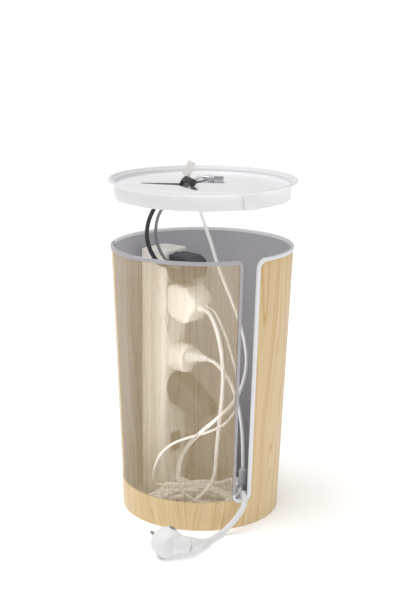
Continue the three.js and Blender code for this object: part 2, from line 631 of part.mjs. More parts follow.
function buildBlackLead(parent) {
  lead("black_lead", [
    [-3.2, 1.2, 107.7], [-5, 1.8, 99], [-8.5, -1.5, 88], [-13, -8, 77], [-14, -14, 66], [-9, -17, 56.5],
    [-1, -14, 49.5], [6, -9.5, 45.4], [10, -8.2, 44.2], [13, -8, 43.8],
  ], BLACK_D, black(), parent);
  const neck = rod([13.6, -8, 43.8], [20, -8, 43.8], 2.8, 4.6);
  const barrel = rod([19.9, -8, 43.8], [36, -8, 43.8], 4.6);
  node("black_connector", neck.add(barrel), black(), parent);
}

// Three leads climb to the tray lid, each with its connector lying on the tray.
function buildTrayLeads(parent, lidGroup) {
  lead("tray_lead", [
    [53.7, -65.8, 44.5], [52.4, -68.2, 40.5], [48.5, -72.5, 36], [41.5, -77.5, 32.6],
    [32, -83, 31], [14, -86.5, 30.8],
    [-4, -88, 34], [-19, -85, 44], [-26, -82, 60], [-26, -80, 80], [-18, -79, 100], [0, -79, 122],
    [22, -78, 142], [41, -73, 160], [53, -64, 182], [58, -54, 207], [55, -45, 235], [46, -36, 264],
    [34, -27, 293], [22, -16, 320], [12, -4, 348], [3, 8, 372], [-5, 17, 394], [-10.5, 21.5, 410],
    [-12, 22.5, 419.5], [-11.2, 22.8, 425], [-8.6, 23.2, 429], [-4.5, 23.7, 431], [-1.5, 24, 431.2],
  ], TRAY_D, white(), parent);
  lead("black_riser", [
    [-38.5, -3, 321.5], [-46, -13, 323], [-56, -22, 330], [-64, -24, 343], [-69, -19, 357], [-69.5, -10, 372],
    [-65, 0, 387], [-57, 5, 400], [-47, 7.5, 408], [-38, 7.8, 412], [-31.5, 5.6, 417], [-28, 2.6, 423],
    [-25.5, 0, 429.5],
  ], BLACK_RISER_D, black(), parent);
  lead("grey_riser", [
    [-27.5, -10, 321.5], [-34, -19, 323.5], [-43, -27, 331], [-51, -30, 343], [-57, -25, 358],
    [-58.5, -14, 372], [-56, -3, 385], [-50, 5, 395], [-41, 10.5, 402], [-31, 12.5, 407], [-24.5, 11.5, 413],
    [-22.4, 10, 420], [-22.7, 9.9, 429.8],
  ], GREY_RISER_D, grey(), parent);

  const z = -(TOWER_H + LID_RAISE);
  const ribs = [6, 9, 12].map((x) => rod([x, 24.5, 429.2 + z], [x + 1.6, 24.6, 429 + z], 4.1, 4.1, 12));
  const plug = join(
    rod([-0.6, 24, 431 + z], [14, 24.8, 428.6 + z], 2.6, 3.6),
    ...ribs,
    box(13.8, 26, 19.6, 29.8, 425 + z, 431.6 + z),
  );
  node("tray_connector", plug, metal(), lidGroup);
  const blackEnd = rod([-24.6, -1.4, 430.6 + z], [-20.5, -7, 433 + z], 2.8, 4.2)
    .add(rod([-20.6, -6.9, 433 + z], [-11.5, -24, 431 + z], 4.2, 4.6));
  node("black_tray_connector", blackEnd, black(), lidGroup);
  const flat = new THREE.BoxGeometry(10.5, 3.6, 19);
  flat.rotateX(radians(-18));
  flat.rotateY(radians(24));
  flat.translate(-18, 14.8, 443.6 + z);
  const flatEnd = rod([-22.6, 10.4, 430.9 + z], [-20, 12.6, 438.5 + z], 2.1, 2.9, 12).add(solid(flat));
  node("flat_tray_connector", flatEnd, white(), lidGroup);
}

const lid = new THREE.Group();
lid.position.z = TOWER_H + LID_RAISE;

buildWall(tower);
buildLid(lid);
buildStrip(strip);
buildRocker(strip);
buildTopPlug(strip);
buildCubeCharger(strip);
buildAdapter(strip);
buildBlackPlug(strip);
buildMainsPlug(tower);
buildMainsLead(tower);
buildChargerLeads(tower);
buildAdapterLead(tower);
buildBlackLead(tower);
buildTrayLeads(tower, lid);
tower.add(lid, strip);

export default tower;
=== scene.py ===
import json
import math

import bmesh
import bpy
import numpy as np
from mathutils import Matrix, Vector

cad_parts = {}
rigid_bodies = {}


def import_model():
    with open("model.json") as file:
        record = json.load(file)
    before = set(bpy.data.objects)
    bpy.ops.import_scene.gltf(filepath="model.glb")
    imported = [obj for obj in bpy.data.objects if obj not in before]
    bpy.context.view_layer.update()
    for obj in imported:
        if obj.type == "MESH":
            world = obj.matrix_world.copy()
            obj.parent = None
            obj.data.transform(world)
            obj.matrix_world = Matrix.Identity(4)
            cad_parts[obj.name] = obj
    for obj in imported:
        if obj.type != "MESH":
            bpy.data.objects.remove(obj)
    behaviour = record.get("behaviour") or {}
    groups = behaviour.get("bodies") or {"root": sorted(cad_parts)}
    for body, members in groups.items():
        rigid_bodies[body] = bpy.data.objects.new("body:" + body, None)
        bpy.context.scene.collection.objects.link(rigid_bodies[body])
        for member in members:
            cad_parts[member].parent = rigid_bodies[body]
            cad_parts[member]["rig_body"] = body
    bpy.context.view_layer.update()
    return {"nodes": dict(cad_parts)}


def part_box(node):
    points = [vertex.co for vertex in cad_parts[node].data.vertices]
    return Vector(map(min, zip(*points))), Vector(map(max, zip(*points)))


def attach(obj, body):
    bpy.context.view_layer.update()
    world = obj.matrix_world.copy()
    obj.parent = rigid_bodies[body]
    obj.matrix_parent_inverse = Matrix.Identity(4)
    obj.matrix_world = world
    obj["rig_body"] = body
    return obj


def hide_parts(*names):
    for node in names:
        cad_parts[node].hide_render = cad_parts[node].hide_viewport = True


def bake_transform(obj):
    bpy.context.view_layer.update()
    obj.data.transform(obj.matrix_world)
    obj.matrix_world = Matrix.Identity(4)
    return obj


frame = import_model()

MM = 0.001
scene = bpy.context.scene


# ---- Camera: two thirds of a metre up, a little under 1.6 m in front, with a long lens ----
CAMERA_AT = (0.0292, -1.5897, 0.6695)
CAMERA_PITCH, CAMERA_YAW, CAMERA_ROLL = 13.97, -1.14, 0.45   # degrees
CAMERA_LENS, CAMERA_REACH = 75.95, 100


def make_camera():
    pitch, yaw, roll = (math.radians(a) for a in (CAMERA_PITCH, CAMERA_YAW, CAMERA_ROLL))
    ahead = Vector((math.sin(yaw) * math.cos(pitch), math.cos(yaw) * math.cos(pitch), -math.sin(pitch)))
    right = Vector((math.cos(yaw), -math.sin(yaw), 0))
    up = right.cross(ahead)
    side = math.cos(roll) * right + math.sin(roll) * up
    top = -math.sin(roll) * right + math.cos(roll) * up
    camera = bpy.data.objects.new("camera", bpy.data.cameras.new("camera"))
    scene.collection.objects.link(camera)
    camera.data.sensor_width = 36
    camera.data.lens = CAMERA_LENS
    camera.data.clip_end = CAMERA_REACH
    turn = Matrix((side, top, -ahead)).transposed().to_4x4()
    camera.matrix_world = Matrix.Translation(CAMERA_AT) @ turn
    scene.camera = camera


make_camera()


# ---- Materials ----
def rgb(r, g, b):
    """A colour from 0 to 255 screen values, as the linear numbers that shaders take."""
    def linear(v):
        v /= 255
        return v / 12.92 if v <= 0.04045 else ((v + 0.055) / 1.055) ** 2.4
    return (linear(r), linear(g), linear(b), 1)


def shade(colour, by):
    return tuple(min(1.0, c * by) for c in colour[:3]) + (1,)


class Material:
    """A node material that is built one node at a time."""

    def __init__(self, name, roughness, metallic=0.0, **settings):
        self.made = bpy.data.materials.new(name)
        self.made.use_nodes = True
        self.tree = self.made.node_tree
        self.shader = self.tree.nodes["Principled BSDF"]
        self.shader.inputs["Roughness"].default_value = roughness
        self.shader.inputs["Metallic"].default_value = metallic
        for socket, value in settings.items():
            self.shader.inputs[socket.replace("_", " ")].default_value = value
        self.place = self.add("ShaderNodeTexCoord").outputs["Object"]

    def add(self, kind, inputs=None, **settings):
        node = self.tree.nodes.new(kind)
        for key, value in settings.items():
            setattr(node, key, value)
        for key, value in (inputs or {}).items():
            if isinstance(value, bpy.types.NodeSocket):
                self.tree.links.new(value, node.inputs[key])
            else:
                node.inputs[key].default_value = value
        return node

    def stretched(self, by, source=None):
        """The place, scaled by three numbers."""
        scaled = self.add("ShaderNodeVectorMath", {0: source or self.place, 1: by}, operation="MULTIPLY")
        return scaled.outputs[0]

    def noise(self, scale, detail=2.0, source=None, roughness=0.5):
        inputs = {"Vector": source or self.place, "Scale": scale, "Detail": detail, "Roughness": roughness}
        return self.add("ShaderNodeTexNoise", inputs).outputs["Fac"]

    def ramp(self, source, stops):
        node = self.add("ShaderNodeValToRGB", {"Fac": source})
        elements = node.color_ramp.elements
        while len(elements) < len(stops):
            elements.new(0.5)
        for element, (position, colour) in zip(elements, stops):
            element.position = position
            element.color = colour
        return node.outputs["Color"]

    def mix(self, share, one, other, blend="MIX"):
        node = self.add("ShaderNodeMix", data_type="RGBA", blend_type=blend)
        for socket, value in zip((node.inputs[0], node.inputs[6], node.inputs[7]), (share, one, other)):
            if isinstance(value, bpy.types.NodeSocket):
                self.tree.links.new(value, socket)
            else:
                socket.default_value = value
        return node.outputs[2]

    def link(self, source, socket):
        self.tree.links.new(source, self.shader.inputs[socket])

    def spread(self, source, low, high, socket):
        """A shader value that varies between low and high with the source."""
        node = self.add("ShaderNodeMapRange", {"Value": source, "From Min": 0.3, "From Max": 0.7,
                                               "To Min": low, "To Max": high})
        self.link(node.outputs["Result"], socket)

    def bump(self, source, depth, strength=0.5):
        node = self.add("ShaderNodeBump", {"Height": source, "Distance": depth, "Strength": strength})
        self.link(node.outputs["Normal"], "Normal")


def plastic(name, colour, roughness=0.4, grain=900, depth=0.00006, mottle=0.035, **settings):
    """Moulded plastic: a fine spark texture, and broad faint unevenness in its colour."""
    m = Material(name, roughness, **settings)
    broad = m.noise(22, 3)
    fine = m.noise(grain, 3)
    tone = m.ramp(broad, [(0.3, shade(colour, 1 - mottle)), (0.7, shade(colour, 1 + mottle))])
    specks = m.ramp(fine, [(0.35, shade(colour, 0.95)), (0.65, shade(colour, 1.04))])
    m.link(m.mix(0.25, tone, specks), "Base Color")
    m.spread(fine, roughness - 0.06, roughness + 0.06, "Roughness")
    m.bump(fine, depth)
    return m.made


def metal(name, colour, roughness, brushed=(1, 1, 1)):
    """Bare metal with fine drawn lines, and small changes in its shine."""
    m = Material(name, roughness, 1.0)
    lines = m.noise(700, 4, m.stretched(brushed))
    patches = m.noise(90, 3)
    m.link(m.ramp(patches, [(0.3, shade(colour, 0.9)), (0.7, shade(colour, 1.06))]), "Base Color")
    m.spread(lines, roughness - 0.08, roughness + 0.12, "Roughness")
    m.bump(lines, 0.00003)
    return m.made


def wood(name, opacity=1.0, pale=0.0):
    """Pine veneer wrapped round the tower: upright growth lines that wander, and fine fibres."""
    m = Material(name, 0.5)
    m.shader.inputs["Alpha"].default_value = opacity
    m.shader.inputs["Coat Weight"].default_value = 0.12
    m.shader.inputs["Coat Roughness"].default_value = 0.3
    parts = m.add("ShaderNodeSeparateXYZ", {0: m.place})
    behind = m.add("ShaderNodeMath", {0: parts.outputs["Y"], 1: -1.0}, operation="MULTIPLY").outputs[0]
    angle = m.add("ShaderNodeMath", {0: parts.outputs["X"], 1: behind}, operation="ARCTAN2").outputs[0]
    around = m.add("ShaderNodeMath", {0: angle, 1: 0.11}, operation="MULTIPLY").outputs[0]
    sheet = m.add("ShaderNodeCombineXYZ", {"X": around, "Y": parts.outputs["Z"]}).outputs[0]
    warp = m.noise(1.0, 2, m.stretched((16, 2.6, 1), sheet))
    wander = m.add("ShaderNodeMath", {0: warp, 1: 0.085}, operation="MULTIPLY").outputs[0]
    bent = m.add("ShaderNodeMath", {0: around, 1: wander}, operation="ADD").outputs[0]
    rings = m.add("ShaderNodeCombineXYZ", {"X": bent, "Y": parts.outputs["Z"]}).outputs[0]
    bands = m.noise(1.0, 2, m.stretched((330, 1.2, 1), rings))
    wide = m.noise(1.0, 1, m.stretched((60, 0.7, 1), rings))
    fibres = m.noise(1.0, 4, m.stretched((2300, 30, 1), sheet))
    light, honey = rgb(236, 216, 176), rgb(226, 198, 148)
    line = rgb(206, 166, 104)
    body = m.mix(wide, light, honey)
    growth = m.ramp(bands, [(0.0, (0, 0, 0, 1)), (0.52, (0.1, 0.1, 0.1, 1)), (0.64, (0.85, 0.85, 0.85, 1)),
                            (0.72, (0.15, 0.15, 0.15, 1)), (1.0, (0, 0, 0, 1))])
    broad = m.noise(1.0, 2, m.stretched((95, 1.0, 1), rings))
    streaks = m.ramp(broad, [(0.42, (1, 1, 1, 1)), (0.7, (0.9, 0.86, 0.8, 1))])
    body = m.mix(1.0, body, streaks, "MULTIPLY")
    grained = m.mix(growth, body, m.mix(pale, line, light))
    fine = m.ramp(fibres, [(0.3, (0.93, 0.92, 0.9, 1)), (0.62, (1, 1, 1, 1))])
    m.link(m.mix(1.0, grained, fine, "MULTIPLY"), "Base Color")
    m.spread(fibres, 0.42, 0.58, "Roughness")
    m.bump(fibres, 0.00004)
    return m.made


def see_through(name, colour, opacity):
    """Clear or frosted plastic: the same colour all over, faintly cloudy."""
    m = Material(name, 0.45)
    m.shader.inputs["Alpha"].default_value = opacity
    cloud = m.noise(60, 3)
    m.link(m.ramp(cloud, [(0.3, shade(colour, 0.96)), (0.7, shade(colour, 1.04))]), "Base Color")
    m.bump(m.noise(800, 2), 0.00004)
    return m.made


LOOKS = {
    "wood_skin": wood("pine_veneer"),
    "window": wood("see_through_pine", 0.4, 0.1),
    "clear": see_through("clear_panel_plastic", rgb(240, 234, 220), 0.06),
    "liner": plastic("grey_liner_plastic", rgb(186, 185, 190), 0.55),
    "trim_white": plastic("white_trim_plastic", rgb(236, 236, 240), 0.35),
    "trim_frosted": see_through("frosted_trim", rgb(196, 192, 198), 0.72),
    "lid_white": plastic("white_lid_plastic", rgb(236, 236, 238), 0.42, 1200),
    # The collar's grey is painted shade: it stands in for the shade on the walls of the star hole under the
    # tray.
    "collar_grey": plastic("painted_shade_collar_plastic", rgb(132, 132, 134), 0.65, 1500),
    "base_grey": plastic("dark_grey_floor_plastic", rgb(120, 119, 122), 0.6),
    "strip_white": plastic("strip_plastic", rgb(236, 232, 226), 0.38),
    "well_white": plastic("socket_plastic", rgb(228, 224, 218), 0.42),
    "brass": metal("brass_strip", rgb(214, 178, 96), 0.3, (1, 1, 0.05)),
    "steel": metal("steel_strip", rgb(196, 197, 200), 0.34),
    "pin_metal": metal("nickel_pin", rgb(206, 206, 208), 0.26),
    "charger_white": plastic("charger_plastic", rgb(244, 240, 234), 0.36),
    "black_plastic": plastic("black_moulded_plastic", rgb(58, 59, 63), 0.48, 1100, 0.00008, 0.12),
    "lead_white": plastic("white_lead_rubber", rgb(228, 228, 228), 0.5, 1400, 0.00004),
    "lead_black": plastic("black_lead_rubber", rgb(46, 47, 50), 0.55, 1400, 0.00004, 0.1),
    "lead_grey": plastic("grey_lead_rubber", rgb(120, 121, 124), 0.55, 1400, 0.00004),
    "connector_grey": plastic("grey_connector_plastic", rgb(178, 181, 185), 0.4),
    "connector_metal": metal("connector_shell", rgb(190, 191, 194), 0.3),
}


# ---- Making pieces ----
def piece(name, bm, look, body="root", replaces=(), sharp=35, bevel=0.0, segments=2, bevel_angle=35):
    """An object from a bmesh, in metres, with its look, its body and the CAD nodes that it stands for."""
    bmesh.ops.recalc_face_normals(bm, faces=bm.faces)
    mesh = bpy.data.meshes.new(name)
    bm.to_mesh(mesh)
    bm.free()
    obj = bpy.data.objects.new(name, mesh)
    scene.collection.objects.link(obj)
    mesh.materials.append(LOOKS[look])
    smooth(obj, sharp)
    if bevel:
        edges = obj.modifiers.new("edges", "BEVEL")
        edges.width = bevel
        edges.segments = segments
        edges.limit_method = "ANGLE"
        edges.angle_limit = math.radians(bevel_angle)
        edges.use_clamp_overlap = True
        bake(obj)
        smooth(obj, sharp)
    if body:
        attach(obj, body)
    if replaces:
        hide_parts(*replaces)
    return obj


def smooth(obj, sharp):
    obj.data.polygons.foreach_set("use_smooth", [True] * len(obj.data.polygons))
    obj.data.set_sharp_from_angle(angle=math.radians(sharp))


def bake(obj):
    """The object's modifiers become its mesh."""
    depsgraph = bpy.context.evaluated_depsgraph_get()
    baked = bpy.data.meshes.new_from_object(obj.evaluated_get(depsgraph))
    obj.modifiers.clear()
    old = obj.data
    obj.data = baked
    bpy.data.meshes.remove(old)


def combined(bm, other, operation):
    """bm cut by, joined with or kept inside the other bmesh."""
    objects = []
    for each in (bm, other):
        bmesh.ops.recalc_face_normals(each, faces=each.faces)
        mesh = bpy.data.meshes.new("scratch")
        each.to_mesh(mesh)
        each.free()
        obj = bpy.data.objects.new("scratch", mesh)
        scene.collection.objects.link(obj)
        objects.append(obj)
    whole, tool = objects
    step = whole.modifiers.new("boolean", "BOOLEAN")
    step.operation = operation
    step.solver = "EXACT"
    step.object = tool
    bake(whole)
    result = bmesh.new()
    result.from_mesh(whole.data)
    for obj in objects:
        mesh = obj.data
        bpy.data.objects.remove(obj)
        bpy.data.meshes.remove(mesh)
    return result


def revolved(profile, steps=180):
    """A closed profile of (radius, height) points in mm, turned about Z."""
    bm = bmesh.new()
    rings = []
    for i in range(steps):
        a = 2 * math.pi * i / steps
        c, s = math.cos(a), math.sin(a)
        rings.append([bm.verts.new((r * MM * s, -r * MM * c, z * MM)) for r, z in profile])
    for here, there in zip(rings, rings[1:] + rings[:1]):
        for k in range(len(profile)):
            n = (k + 1) % len(profile)
            bm.faces.new((here[k], there[k], there[n], here[n]))
    bmesh.ops.remove_doubles(bm, verts=bm.verts, dist=1e-7)
    return bm


def rounded(points, radius, steps=4):
    """A closed outline with its corners rounded. radius is one number, or one for each corner."""
    radii = radius if isinstance(radius, (list, tuple)) else [radius] * len(points)
    made = []
    count = len(points)
    for i, r in enumerate(radii):
        before, corner, after = (Vector(points[(i + k) % count]) for k in (-1, 0, 1))
        a, b = before - corner, after - corner
        if r <= 0:
            made.append(tuple(corner))
            continue
        half = a.angle(b) / 2
        reach = min(r / math.tan(half), 0.48 * a.length, 0.48 * b.length)
        start, end = corner + a.normalized() * reach, corner + b.normalized() * reach
        for k in range(steps + 1):
            t = k / steps
            made.append(tuple(start * (1 - t) ** 2 + corner * 2 * t * (1 - t) + end * t * t))
    return made


def prism(outline, frame_of, near, far):
    """A flat outline pushed from near to far. frame_of turns (u, v, depth) in mm into a place in mm."""
    bm = bmesh.new()
    ends = [[bm.verts.new(Vector(frame_of(u, v, d)) * MM) for u, v in outline] for d in (near, far)]
    for k in range(len(outline)):
        n = (k + 1) % len(outline)
        bm.faces.new((ends[0][k], ends[0][n], ends[1][n], ends[1][k]))
    bm.faces.new(ends[0])
    bm.faces.new(ends[1][::-1])
    return bm


def swept(path, section):
    """A section carried along a path. section(i) gives its points there, in metres."""
    bm = bmesh.new()
    rings = [[bm.verts.new(p) for p in section(i)] for i in range(len(path))]
    for here, there in zip(rings, rings[1:]):
        for k in range(len(here)):
            n = (k + 1) % len(here)
            bm.faces.new((here[k], here[n], there[n], there[k]))
    bm.faces.new(rings[0])
    bm.faces.new(rings[-1][::-1])
    return bm


def frames_along(path):
    """Two directions across the path at each of its points, that don't twist."""
    along = [(path[min(i + 1, len(path) - 1)] - path[max(i - 1, 0)]).normalized() for i in range(len(path))]
    side = along[0].orthogonal().normalized()
    made = []
    for direction in along:
        side = (side - direction * side.dot(direction)).normalized()
        made.append((side, direction.cross(side)))
    return made


def tube(path, radius, sides=16):
    """A round tube along a path, in metres. radius is a number or a function of the distance along."""
    path = [Vector(p) for p in path]
    across = frames_along(path)
    gone = [0.0]
    for a, b in zip(path, path[1:]):
        gone.append(gone[-1] + (b - a).length)

    def section(i):
        r = radius(gone[i]) if callable(radius) else radius
        u, v = across[i]
        turns = [2 * math.pi * k / sides for k in range(sides)]
        return [path[i] + (u * math.cos(t) + v * math.sin(t)) * r for t in turns]

    return swept(path, section)


def spindle(start, end, profile, sides=32):
    """A turned piece from start towards end: profile is (distance, radius) in mm along its axis."""
    axis = (Vector(end) - Vector(start)).normalized()
    path = [Vector(start) * MM + axis * d * MM for d, _r in profile]
    u = axis.orthogonal().normalized()
    v = axis.cross(u)

    def section(i):
        r = profile[i][1] * MM
        turns = [2 * math.pi * k / sides for k in range(sides)]
        return [path[i] + (u * math.cos(t) + v * math.sin(t)) * r for t in turns]

    return swept(path, section)


def cad_copy(node):
    """A CAD node's mesh, welded, with its flat faces whole again."""
    bm = bmesh.new()
    bm.from_mesh(frame["nodes"][node].data)
    bmesh.ops.remove_doubles(bm, verts=bm.verts, dist=3e-6)
    bmesh.ops.dissolve_limit(bm, angle_limit=math.radians(0.6), verts=bm.verts, edges=bm.edges)
    return bm


def remade(node, look, bevel=0.0004, sharp=38, **settings):
    """A CAD node made again with eased edges."""
    body = frame["nodes"][node]["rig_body"]
    return piece(node + "_finished", cad_copy(node), look, body, [node], sharp, bevel, **settings)


def moulded(node, look, voxel=0.0009, passes=8):
    """A CAD node made again as one moulded body, its joints and edges flowing together."""
    obj = piece(node + "_moulded", cad_copy(node), look, None, [node])
    fine = obj.modifiers.new("remesh", "REMESH")
    fine.mode = "VOXEL"
    fine.voxel_size = voxel
    fine.adaptivity = 0.0
    flow = obj.modifiers.new("smooth", "SMOOTH")
    flow.factor = 0.5
    flow.iterations = passes
    bake(obj)
    smooth(obj, 60)
    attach(obj, frame["nodes"][node]["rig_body"])
    return obj


# ---- Leads ----
def curve_through(points, spacing=0.003):
    """A smooth curve through the points (centripetal Catmull-Rom), in metres."""
    p = [Vector(q) for q in points]
    p = [p[0] * 2 - p[1]] + p + [p[-1] * 2 - p[-2]]
    made = []
    for i in range(1, len(p) - 2):
        p0, p1, p2, p3 = p[i - 1], p[i], p[i + 1], p[i + 2]
        d = [max((b - a).length, 1e-6) ** 0.5 for a, b in ((p0, p1), (p1, p2), (p2, p3))]
        m1 = ((p1 - p0) / d[0] - (p2 - p0) / (d[0] + d[1]) + (p2 - p1) / d[1]) * d[1]
        m2 = ((p2 - p1) / d[1] - (p3 - p1) / (d[1] + d[2]) + (p3 - p2) / d[2]) * d[1]
        steps = max(2, round((p2 - p1).length / spacing))
        for k in range(steps):
            t = k / steps
            made.append(p1 * (2 * t**3 - 3 * t**2 + 1) + m1 * (t**3 - 2 * t**2 + t)
                        + p2 * (3 * t**2 - 2 * t**3) + m2 * (t**3 - t**2))
    made.append(p[-2])
    return made


def length_of(path):
    return sum((Vector(b) - Vector(a)).length for a, b in zip(path, path[1:]))


def even(path, spacing):
    """The same line with its points an even distance apart."""
    path = np.array([list(p) for p in path])
    gone = np.concatenate([[0], np.cumsum(np.linalg.norm(np.diff(path, axis=0), axis=1))])
    at = np.linspace(0, gone[-1], max(2, round(gone[-1] / spacing)) + 1)
    return np.stack([np.interp(at, gone, path[:, k]) for k in range(3)], axis=1)


def oval_turns(centre, half, start, sweep, levels, wobble):
    """Loose turns round an oval, clockwise from above, in metres. levels has (growth, height) per turn."""
    steps = int(abs(sweep) / 6)
    made = []
    for i in range(steps + 1):
        a = math.radians(start - sweep * i / steps)
        turn = sweep * i / steps / 360
        k = min(int(turn), len(levels) - 2)
        t = turn - k
        t = t * t * (3 - 2 * t)
        growth = levels[k][0] * (1 - t) + levels[k + 1][0] * t
        height = levels[k][1] * (1 - t) + levels[k + 1][1] * t
        uneven = wobble * math.sin(1.7 * math.radians(sweep) * i / steps + 0.6)
        made.append((
            centre[0] + (half[0] + growth + uneven) * MM * math.cos(a),
            centre[1] + (half[1] + 0.6 * growth + 0.4 * uneven) * MM * math.sin(a),
            height * MM,
        ))
    return made


MAINS_D, CHARGER_D, THIN_D, ADAPTER_D = 0.0072, 0.0054, 0.0032, 0.005
TRAY_D, BLACK_D, BLACK_RISER_D, GREY_RISER_D = 0.0046, 0.0046, 0.0054, 0.004

# Routes in metres, point by point. The CAD model's leads follow the same points.
MAINS_IN = [(-0.0155, 0.0104, 0.019), (-0.0136, 0.0091, 0.019), (-0.0117, 0.0079, 0.0189)]
MAINS_OUT = [
    (0.066, -0.05, 0.0314), (0.0635, -0.06, 0.033), (0.06, -0.07, 0.0375), (0.056, -0.0785, 0.042),
    (0.056, -0.088, 0.0433), (0.058, -0.097, 0.0405), (0.0545, -0.1045, 0.031), (0.047, -0.108, 0.0205),
    (0.039, -0.111, 0.0115), (0.032, -0.115, 0.0058), (0.0265, -0.1215, 0.0041), (0.021, -0.13, 0.0041),
    (0.016, -0.138, 0.0047), (0.0122, -0.1444, 0.0054),
]
CHARGER_ROUTE = [
    (0.0028, -0.0103, 0.2654), (0.009, -0.016, 0.2625), (0.017, -0.027, 0.25), (0.024, -0.038, 0.228),
    (0.028, -0.044, 0.2), (0.028, -0.047, 0.165), (0.025, -0.048, 0.13), (0.022, -0.047, 0.095),
    (0.02, -0.046, 0.062), (0.017, -0.047, 0.045), (0.01, -0.051, 0.035),
]
THIN_ROUTE = [
    (0.0094, -0.0015, 0.2654), (0.016, -0.007, 0.262), (0.028, -0.017, 0.241), (0.038, -0.024, 0.214),
    (0.045, -0.029, 0.188), (0.049, -0.033, 0.16), (0.046, -0.038, 0.142), (0.033, -0.055, 0.128),
    (0.012, -0.064, 0.119), (-0.012, -0.066, 0.112), (-0.034, -0.066, 0.103), (-0.05, -0.064, 0.088),
    (-0.058, -0.061, 0.068), (-0.06, -0.058, 0.052), (-0.056, -0.056, 0.0446), (-0.049, -0.055, 0.042),
]
ADAPTER_ROUTE = [
    (0.0091, -0.0081, 0.1975), (0.017, -0.015, 0.196), (0.029, -0.029, 0.188), (0.04, -0.041, 0.173),
    (0.048, -0.049, 0.152), (0.053, -0.054, 0.126), (0.055, -0.057, 0.1), (0.0555, -0.059, 0.08),
    (0.0558, -0.0605, 0.0704),
]
TRAY_ROUTE = [
    (0.0537, -0.0658, 0.0445), (0.0524, -0.0682, 0.0405), (0.0485, -0.0725, 0.036),
    (0.0415, -0.0775, 0.0326), (0.032, -0.083, 0.031), (0.014, -0.0865, 0.0308), (-0.004, -0.088, 0.034),
    (-0.019, -0.085, 0.044), (-0.026, -0.082, 0.06), (-0.026, -0.08, 0.08), (-0.018, -0.079, 0.1),
    (0.0, -0.079, 0.122), (0.022, -0.078, 0.142), (0.041, -0.073, 0.16), (0.053, -0.064, 0.182),
    (0.058, -0.054, 0.207), (0.055, -0.045, 0.235), (0.046, -0.036, 0.264), (0.034, -0.027, 0.293),
    (0.022, -0.016, 0.32), (0.012, -0.004, 0.348), (0.003, 0.008, 0.372), (-0.005, 0.017, 0.394),
    (-0.0105, 0.0215, 0.41), (-0.012, 0.0225, 0.4195), (-0.0112, 0.0228, 0.425), (-0.0086, 0.0232, 0.429),
    (-0.0045, 0.0237, 0.431), (-0.0015, 0.024, 0.4312),
]
BLACK_ROUTE = [
    (-0.0032, 0.0012, 0.1077), (-0.005, 0.0018, 0.099), (-0.0085, -0.0015, 0.088),
    (-0.013, -0.008, 0.077), (-0.014, -0.014, 0.066), (-0.009, -0.017, 0.0565), (-0.001, -0.014, 0.0495),
    (0.006, -0.0095, 0.0454), (0.01, -0.0082, 0.0442), (0.013, -0.008, 0.0438),
]
BLACK_RISER_ROUTE = [
    (-0.0385, -0.003, 0.3215), (-0.046, -0.013, 0.323), (-0.056, -0.022, 0.33), (-0.064, -0.024, 0.343),
    (-0.069, -0.019, 0.357), (-0.0695, -0.01, 0.372), (-0.065, 0.0, 0.387), (-0.057, 0.005, 0.4),
    (-0.047, 0.0075, 0.408), (-0.038, 0.0078, 0.412), (-0.0315, 0.0056, 0.417), (-0.028, 0.0026, 0.423),
    (-0.0255, 0.0, 0.4295),
]
GREY_RISER_ROUTE = [
    (-0.0275, -0.01, 0.3215), (-0.034, -0.019, 0.3235), (-0.043, -0.027, 0.331), (-0.051, -0.03, 0.343),
    (-0.057, -0.025, 0.358), (-0.0585, -0.014, 0.372), (-0.056, -0.003, 0.385), (-0.05, 0.005, 0.395),
    (-0.041, 0.0105, 0.402), (-0.031, 0.0125, 0.407), (-0.0245, 0.0115, 0.413), (-0.0224, 0.01, 0.42),
    (-0.0227, 0.0099, 0.4298),
]

BIN_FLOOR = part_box("base_plate")[1].z
SPACING = 0.004        # between the points of a coil while it settles
SAME_STRETCH = 0.03    # points nearer than this along a lead don't push each other apart
LAYER_GAP = 0.0002
SINK_STEP, SINK_SHARE, HOME_PULL = 0.0002, 0.75, 0.02


def settled(chains, rounds=260):
    """Lets the coils sink and come to rest on the floor and on each other, without stretching."""
    points = np.concatenate([c["points"] for c in chains])
    radius = np.concatenate([np.full(len(c["points"]), c["diameter"] / 2) for c in chains])
    free = np.concatenate([c["free"] for c in chains])
    which = np.concatenate([np.full(len(c["points"]), k) for k, c in enumerate(chains)])
    order = np.arange(len(points))
    joined = which[:-1] == which[1:]
    rest = np.linalg.norm(np.diff(points, axis=0), axis=1)
    apart = (which[:, None] != which[None]) | (abs(order[:, None] - order[None]) * SPACING > SAME_STRETCH)
    touch = radius[:, None] + radius[None] + LAYER_GAP
    home = points.copy()
    for turn in range(rounds):
        if turn < rounds * SINK_SHARE:
            points[free, 2] -= SINK_STEP
        points[free, :2] += HOME_PULL * (home - points)[free, :2]
        for parity in (0, 1):
            i = np.nonzero(joined & (order[:-1] % 2 == parity))[0]
            step = points[i + 1] - points[i]
            size = np.linalg.norm(step, axis=1)
            share = (free[i].astype(float) + free[i + 1]).clip(1)
            fix = step * ((size - rest[i]) / np.maximum(size, 1e-9) / share)[:, None]
            points[i] += fix * free[i][:, None]
            points[i + 1] -= fix * free[i + 1][:, None]
        gap = points[:, None] - points[None]
        size = np.linalg.norm(gap, axis=2)
        near = apart & (size < touch)
        a, b = np.nonzero(near)
        push = gap[a, b] / np.maximum(size[a, b], 1e-6)[:, None] * ((touch - size)[a, b] / 2)[:, None]
        move = np.zeros_like(points)
        count = np.zeros(len(points))
        np.add.at(move, a, push)
        np.add.at(count, a, 1)
        move /= np.maximum(count, 1)[:, None] ** 0.6
        points[free] += move[free]
        low = BIN_FLOOR + radius + 0.0001
        points[free, 2] = np.maximum(points[free, 2], low[free])
    return [points[which == k] for k in range(len(chains))]


